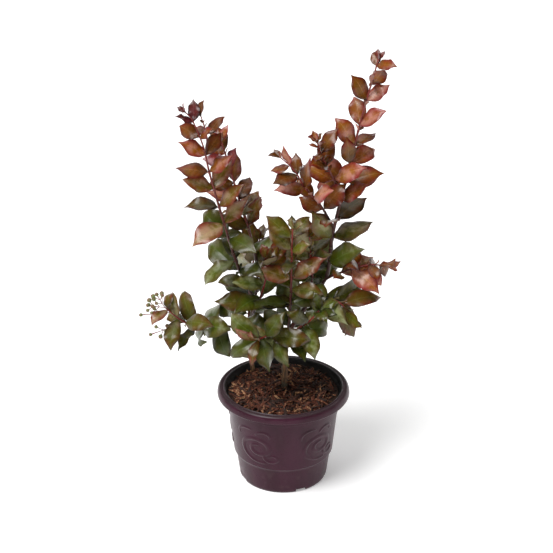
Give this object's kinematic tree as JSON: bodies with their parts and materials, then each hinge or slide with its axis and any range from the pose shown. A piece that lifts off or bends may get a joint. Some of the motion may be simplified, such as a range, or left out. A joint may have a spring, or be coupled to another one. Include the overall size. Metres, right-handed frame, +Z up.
{
  "type": "potted crape myrtle",
  "caption": "Young upright garden shrub with coppery and green leaves on slender stems, in a round tapered plastic pot with a rolled rim.",
  "frame": {"origin": "centre of the pot's flat underside", "axes": "+Z up, -Y towards the front, where the longer right-hand leader leans towards +X"},
  "size_m": [0.3779, 0.2331, 0.6633],
  "materials": {
    "pot_plastic": "satin",
    "bark_mix": "rough and moist",
    "bark": "matte",
    "young_bark": "matte",
    "copper_leaf": "waxy leaf",
    "bronze_leaf": "waxy leaf",
    "green_leaf": "waxy leaf"
  },
  "bodies": {
    "root": {"pot": "pot_plastic", "soil": "bark_mix", "trunk": "bark", "second_stem": "bark", "right_bough": "young_bark", "left_bough": "young_bark", "left_centre_bough": "young_bark", "centre_bough": "young_bark", "low_left_bough": "young_bark", "right_leader_shoot": "copper_leaf", "left_leader_shoot": "bronze_leaf", "left_centre_shoot": "bronze_leaf", "centre_shoot": "green_leaf", "low_left_shoot": "green_leaf", "right_branch_shoot": "copper_leaf", "upper_sprig_shoot": "copper_leaf", "left_top_shoot": "copper_leaf", "right_side_shoot": "bronze_leaf", "low_right_shoot": "green_leaf", "front_low_shoot": "green_leaf", "front_right_shoot": "green_leaf", "inner_left_shoot": "green_leaf", "inner_right_shoot": "green_leaf", "back_left_shoot": "green_leaf", "back_right_shoot": "green_leaf"}
  },
  "joints": []
}
